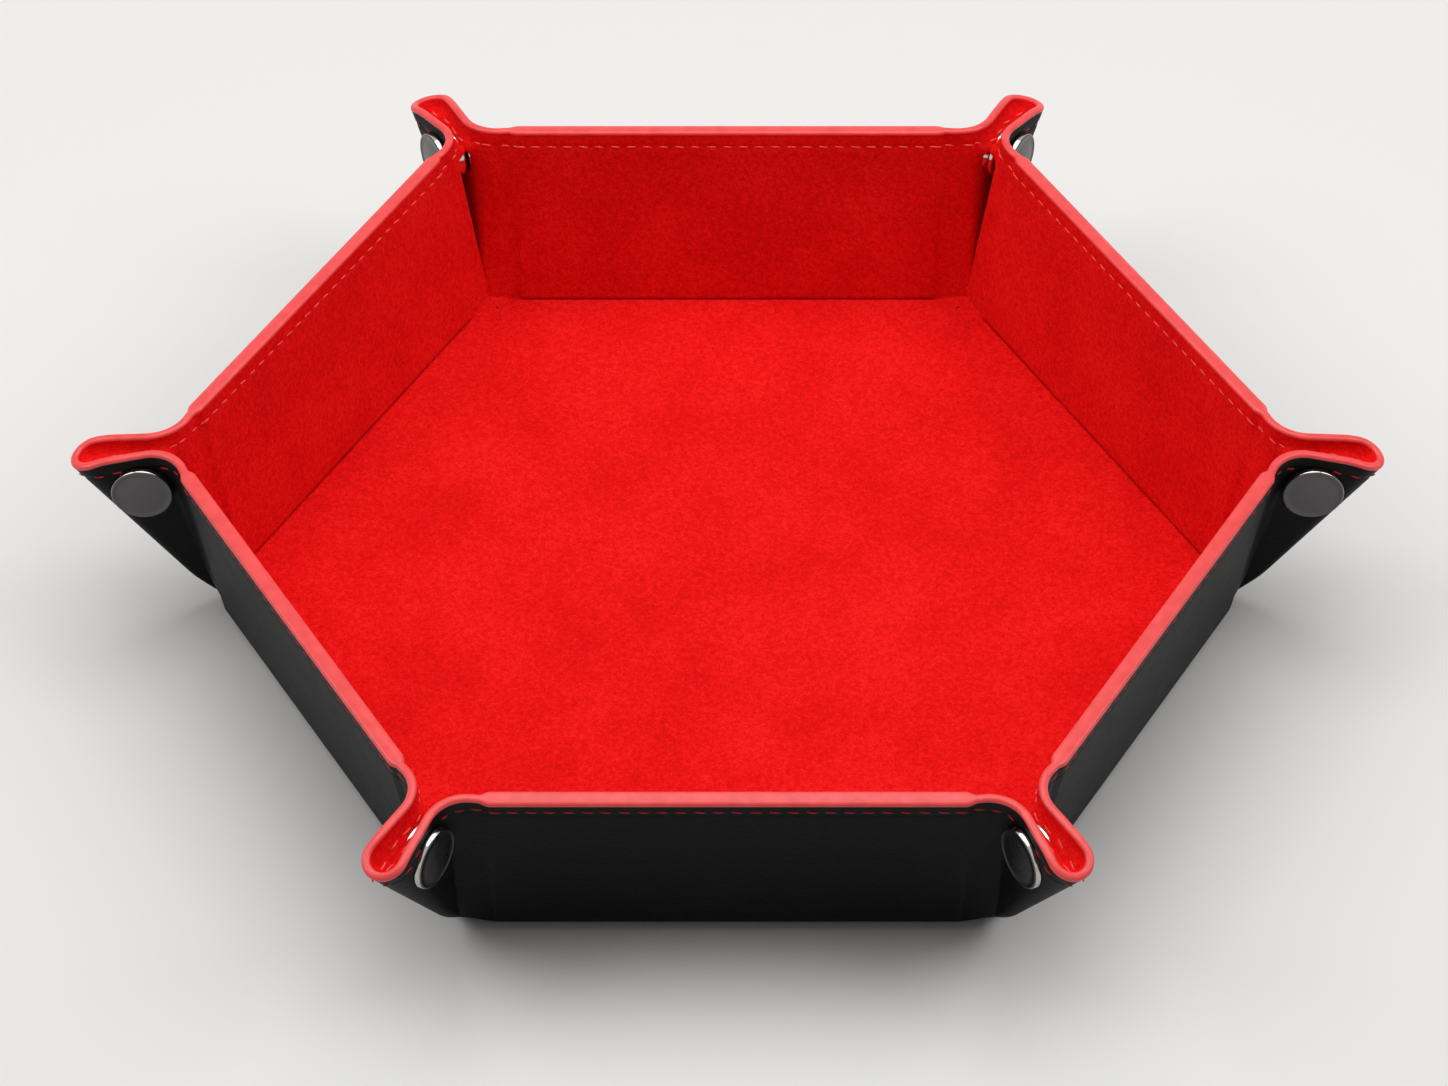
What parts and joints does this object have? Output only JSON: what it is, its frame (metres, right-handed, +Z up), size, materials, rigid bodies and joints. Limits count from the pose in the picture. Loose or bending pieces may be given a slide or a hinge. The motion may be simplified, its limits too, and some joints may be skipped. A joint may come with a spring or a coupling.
{
  "type": "folding dice tray",
  "caption": "Hexagonal snap-corner dice tray in black leather with a red suede lining; its walls fold down flat when the corner snaps open.",
  "frame": {"origin": "middle of the underside, on the surface the tray stands on", "axes": "+X towards the right ear, +Y away from the viewer towards the back wall, +Z up out of the tray"},
  "size_m": [0.2592, 0.2258, 0.0431],
  "materials": {
    "leather_cover": "black grained PU leather, soft semi-gloss",
    "suede_lining": "red microsuede with a short brushed nap",
    "edge_paint": "rounded glossy coral-red edge paint",
    "thread": "red polyester topstitching",
    "snap_steel": "dark nickel-plated cap, bright on its rolled rim",
    "fibreboard": "grey-brown pressed fibre board"
  },
  "bodies": {
    "base": {"base_cover": "leather_cover", "base_board": "fibreboard", "base_lining": "suede_lining"},
    "front_wall": {"front_wall_cover": "leather_cover", "front_wall_board": "fibreboard", "front_wall_lining": "suede_lining"},
    "back_right_wall": {"back_right_wall_cover": "leather_cover", "back_right_wall_board": "fibreboard", "back_right_wall_lining": "suede_lining"},
    "back_wall": {"back_wall_cover": "leather_cover", "back_wall_board": "fibreboard", "back_wall_lining": "suede_lining"},
    "back_left_wall": {"back_left_wall_cover": "leather_cover", "back_left_wall_board": "fibreboard", "back_left_wall_lining": "suede_lining"},
    "front_left_wall": {"front_left_wall_cover": "leather_cover", "front_left_wall_board": "fibreboard", "front_left_wall_lining": "suede_lining"},
    "front_right_wall": {"front_right_wall_cover": "leather_cover", "front_right_wall_board": "fibreboard", "front_right_wall_lining": "suede_lining"},
    "right_ear_left_side": {"right_ear_left_flank": "leather_cover", "right_snap_socket": "snap_steel"},
    "right_ear_left_end": {"right_ear_left_tip": "leather_cover"},
    "right_ear_right_side": {"right_ear_right_flank": "leather_cover", "right_snap_stud": "snap_steel"},
    "right_ear_right_end": {"right_ear_right_tip": "leather_cover"},
    "back_right_ear_left_side": {"back_right_ear_left_flank": "leather_cover", "back_right_snap_socket": "snap_steel"},
    "back_right_ear_left_end": {"back_right_ear_left_tip": "leather_cover"},
    "back_right_ear_right_side": {"back_right_ear_right_flank": "leather_cover", "back_right_snap_stud": "snap_steel"},
    "back_right_ear_right_end": {"back_right_ear_right_tip": "leather_cover"},
    "back_left_ear_left_side": {"back_left_ear_left_flank": "leather_cover", "back_left_snap_socket": "snap_steel"},
    "back_left_ear_left_end": {"back_left_ear_left_tip": "leather_cover"},
    "back_left_ear_right_side": {"back_left_ear_right_flank": "leather_cover", "back_left_snap_stud": "snap_steel"},
    "back_left_ear_right_end": {"back_left_ear_right_tip": "leather_cover"},
    "left_ear_left_side": {"left_ear_left_flank": "leather_cover", "left_snap_socket": "snap_steel"},
    "left_ear_left_end": {"left_ear_left_tip": "leather_cover"},
    "left_ear_right_side": {"left_ear_right_flank": "leather_cover", "left_snap_stud": "snap_steel"},
    "left_ear_right_end": {"left_ear_right_tip": "leather_cover"},
    "front_left_ear_left_side": {"front_left_ear_left_flank": "leather_cover", "front_left_snap_socket": "snap_steel"},
    "front_left_ear_left_end": {"front_left_ear_left_tip": "leather_cover"},
    "front_left_ear_right_side": {"front_left_ear_right_flank": "leather_cover", "front_left_snap_stud": "snap_steel"},
    "front_left_ear_right_end": {"front_left_ear_right_tip": "leather_cover"},
    "front_right_ear_left_side": {"front_right_ear_left_flank": "leather_cover", "front_right_snap_socket": "snap_steel"},
    "front_right_ear_left_end": {"front_right_ear_left_tip": "leather_cover"},
    "front_right_ear_right_side": {"front_right_ear_right_flank": "leather_cover", "front_right_snap_stud": "snap_steel"},
    "front_right_ear_right_end": {"front_right_ear_right_tip": "leather_cover"}
  },
  "joints": [
    {"name": "front_wall_hinge", "type": "hinge", "parent": "base", "child": "front_wall", "pos_m": [0, -0.089, 0.0015], "axis": [1, 0, 0], "range_deg": [0, 78.5]},
    {"name": "back_right_wall_hinge", "type": "hinge", "parent": "base", "child": "back_right_wall", "pos_m": [0.07708, 0.0445, 0.0015], "axis": [-0.5, 0.866, 0], "range_deg": [0, 78.5]},
    {"name": "back_wall_hinge", "type": "hinge", "parent": "base", "child": "back_wall", "pos_m": [0, 0.089, 0.0015], "axis": [-1, 0, 0], "range_deg": [0, 78.5]},
    {"name": "back_left_wall_hinge", "type": "hinge", "parent": "base", "child": "back_left_wall", "pos_m": [-0.07708, 0.0445, 0.0015], "axis": [-0.5, -0.866, 0], "range_deg": [0, 78.5]},
    {"name": "front_left_wall_hinge", "type": "hinge", "parent": "base", "child": "front_left_wall", "pos_m": [-0.07708, -0.0445, 0.0015], "axis": [0.5, -0.866, 0], "range_deg": [0, 78.5]},
    {"name": "front_right_wall_hinge", "type": "hinge", "parent": "base", "child": "front_right_wall", "pos_m": [0.07708, -0.0445, 0.0015], "axis": [0.5, 0.866, 0], "range_deg": [0, 78.5]},
    {"name": "right_ear_left_bend", "type": "hinge", "parent": "back_right_wall", "child": "right_ear_left_side", "pos_m": [0.10277, 0, 0.0015], "axis": [-0.1689, -0.072, -0.983], "range_deg": [0, 62.7]},
    {"name": "right_ear_left_fold", "type": "hinge", "parent": "right_ear_left_side", "child": "right_ear_left_end", "pos_m": [0.10277, 0, 0.0015], "axis": [0.565, 0.0695, 0.8221], "range_deg": [0, 89.9]},
    {"name": "right_ear_right_bend", "type": "hinge", "parent": "front_right_wall", "child": "right_ear_right_side", "pos_m": [0.10277, 0, 0.0015], "axis": [0.1689, -0.072, 0.983], "range_deg": [0, 62.7]},
    {"name": "right_ear_right_fold", "type": "hinge", "parent": "right_ear_right_side", "child": "right_ear_right_end", "pos_m": [0.10277, 0, 0.0015], "axis": [-0.565, 0.0695, -0.8221], "range_deg": [0, 89.9]},
    {"name": "back_right_ear_left_bend", "type": "hinge", "parent": "back_wall", "child": "back_right_ear_left_side", "pos_m": [0.05138, 0.089, 0.0015], "axis": [-0.0221, -0.1823, -0.983], "range_deg": [0, 62.7]},
    {"name": "back_right_ear_left_fold", "type": "hinge", "parent": "back_right_ear_left_side", "child": "back_right_ear_left_end", "pos_m": [0.05138, 0.089, 0.0015], "axis": [0.2223, 0.5241, 0.8221], "range_deg": [0, 89.9]},
    {"name": "back_right_ear_right_bend", "type": "hinge", "parent": "back_right_wall", "child": "back_right_ear_right_side", "pos_m": [0.05138, 0.089, 0.0015], "axis": [0.1468, 0.1103, 0.983], "range_deg": [0, 62.7]},
    {"name": "back_right_ear_right_fold", "type": "hinge", "parent": "back_right_ear_right_side", "child": "back_right_ear_right_end", "pos_m": [0.05138, 0.089, 0.0015], "axis": [-0.3427, -0.4546, -0.8221], "range_deg": [0, 89.9]},
    {"name": "back_left_ear_left_bend", "type": "hinge", "parent": "back_left_wall", "child": "back_left_ear_left_side", "pos_m": [-0.05138, 0.089, 0.0015], "axis": [0.1468, -0.1103, -0.983], "range_deg": [0, 62.7]},
    {"name": "back_left_ear_left_fold", "type": "hinge", "parent": "back_left_ear_left_side", "child": "back_left_ear_left_end", "pos_m": [-0.05138, 0.089, 0.0015], "axis": [-0.3427, 0.4546, 0.8221], "range_deg": [0, 89.9]},
    {"name": "back_left_ear_right_bend", "type": "hinge", "parent": "back_wall", "child": "back_left_ear_right_side", "pos_m": [-0.05138, 0.089, 0.0015], "axis": [-0.0221, 0.1823, 0.983], "range_deg": [0, 62.7]},
    {"name": "back_left_ear_right_fold", "type": "hinge", "parent": "back_left_ear_right_side", "child": "back_left_ear_right_end", "pos_m": [-0.05138, 0.089, 0.0015], "axis": [0.2223, -0.5241, -0.8221], "range_deg": [0, 89.9]},
    {"name": "left_ear_left_bend", "type": "hinge", "parent": "front_left_wall", "child": "left_ear_left_side", "pos_m": [-0.10277, 0, 0.0015], "axis": [0.1689, 0.072, -0.983], "range_deg": [0, 62.7]},
    {"name": "left_ear_left_fold", "type": "hinge", "parent": "left_ear_left_side", "child": "left_ear_left_end", "pos_m": [-0.10277, 0, 0.0015], "axis": [-0.565, -0.0695, 0.8221], "range_deg": [0, 89.9]},
    {"name": "left_ear_right_bend", "type": "hinge", "parent": "back_left_wall", "child": "left_ear_right_side", "pos_m": [-0.10277, 0, 0.0015], "axis": [-0.1689, 0.072, 0.983], "range_deg": [0, 62.7]},
    {"name": "left_ear_right_fold", "type": "hinge", "parent": "left_ear_right_side", "child": "left_ear_right_end", "pos_m": [-0.10277, 0, 0.0015], "axis": [0.565, -0.0695, -0.8221], "range_deg": [0, 89.9]},
    {"name": "front_left_ear_left_bend", "type": "hinge", "parent": "front_wall", "child": "front_left_ear_left_side", "pos_m": [-0.05138, -0.089, 0.0015], "axis": [0.0221, 0.1823, -0.983], "range_deg": [0, 62.7]},
    {"name": "front_left_ear_left_fold", "type": "hinge", "parent": "front_left_ear_left_side", "child": "front_left_ear_left_end", "pos_m": [-0.05138, -0.089, 0.0015], "axis": [-0.2223, -0.5241, 0.8221], "range_deg": [0, 89.9]},
    {"name": "front_left_ear_right_bend", "type": "hinge", "parent": "front_left_wall", "child": "front_left_ear_right_side", "pos_m": [-0.05138, -0.089, 0.0015], "axis": [-0.1468, -0.1103, 0.983], "range_deg": [0, 62.7]},
    {"name": "front_left_ear_right_fold", "type": "hinge", "parent": "front_left_ear_right_side", "child": "front_left_ear_right_end", "pos_m": [-0.05138, -0.089, 0.0015], "axis": [0.3427, 0.4546, -0.8221], "range_deg": [0, 89.9]},
    {"name": "front_right_ear_left_bend", "type": "hinge", "parent": "front_right_wall", "child": "front_right_ear_left_side", "pos_m": [0.05138, -0.089, 0.0015], "axis": [-0.1468, 0.1103, -0.983], "range_deg": [0, 62.7]},
    {"name": "front_right_ear_left_fold", "type": "hinge", "parent": "front_right_ear_left_side", "child": "front_right_ear_left_end", "pos_m": [0.05138, -0.089, 0.0015], "axis": [0.3427, -0.4546, 0.8221], "range_deg": [0, 89.9]},
    {"name": "front_right_ear_right_bend", "type": "hinge", "parent": "front_wall", "child": "front_right_ear_right_side", "pos_m": [0.05138, -0.089, 0.0015], "axis": [0.0221, -0.1823, 0.983], "range_deg": [0, 62.7]},
    {"name": "front_right_ear_right_fold", "type": "hinge", "parent": "front_right_ear_right_side", "child": "front_right_ear_right_end", "pos_m": [0.05138, -0.089, 0.0015], "axis": [-0.2223, 0.5241, -0.8221], "range_deg": [0, 89.9]}
  ],
  "couplings": [
    {"joint": "back_right_wall_hinge", "follows": "front_wall_hinge", "ratio": 1},
    {"joint": "back_wall_hinge", "follows": "front_wall_hinge", "ratio": 1},
    {"joint": "back_left_wall_hinge", "follows": "front_wall_hinge", "ratio": 1},
    {"joint": "front_left_wall_hinge", "follows": "front_wall_hinge", "ratio": 1},
    {"joint": "front_right_wall_hinge", "follows": "front_wall_hinge", "ratio": 1},
    {"joint": "right_ear_left_bend", "follows": "front_wall_hinge", "ratio": 0.7987},
    {"joint": "right_ear_left_fold", "follows": "front_wall_hinge", "ratio": 1.1444},
    {"joint": "right_ear_right_bend", "follows": "front_wall_hinge", "ratio": 0.7987},
    {"joint": "right_ear_right_fold", "follows": "front_wall_hinge", "ratio": 1.1444},
    {"joint": "back_right_ear_left_bend", "follows": "front_wall_hinge", "ratio": 0.7987},
    {"joint": "back_right_ear_left_fold", "follows": "front_wall_hinge", "ratio": 1.1444},
    {"joint": "back_right_ear_right_bend", "follows": "front_wall_hinge", "ratio": 0.7987},
    {"joint": "back_right_ear_right_fold", "follows": "front_wall_hinge", "ratio": 1.1444},
    {"joint": "back_left_ear_left_bend", "follows": "front_wall_hinge", "ratio": 0.7987},
    {"joint": "back_left_ear_left_fold", "follows": "front_wall_hinge", "ratio": 1.1444},
    {"joint": "back_left_ear_right_bend", "follows": "front_wall_hinge", "ratio": 0.7987},
    {"joint": "back_left_ear_right_fold", "follows": "front_wall_hinge", "ratio": 1.1444},
    {"joint": "left_ear_left_bend", "follows": "front_wall_hinge", "ratio": 0.7987},
    {"joint": "left_ear_left_fold", "follows": "front_wall_hinge", "ratio": 1.1444},
    {"joint": "left_ear_right_bend", "follows": "front_wall_hinge", "ratio": 0.7987},
    {"joint": "left_ear_right_fold", "follows": "front_wall_hinge", "ratio": 1.1444},
    {"joint": "front_left_ear_left_bend", "follows": "front_wall_hinge", "ratio": 0.7987},
    {"joint": "front_left_ear_left_fold", "follows": "front_wall_hinge", "ratio": 1.1444},
    {"joint": "front_left_ear_right_bend", "follows": "front_wall_hinge", "ratio": 0.7987},
    {"joint": "front_left_ear_right_fold", "follows": "front_wall_hinge", "ratio": 1.1444},
    {"joint": "front_right_ear_left_bend", "follows": "front_wall_hinge", "ratio": 0.7987},
    {"joint": "front_right_ear_left_fold", "follows": "front_wall_hinge", "ratio": 1.1444},
    {"joint": "front_right_ear_right_bend", "follows": "front_wall_hinge", "ratio": 0.7987},
    {"joint": "front_right_ear_right_fold", "follows": "front_wall_hinge", "ratio": 1.1444}
  ]
}
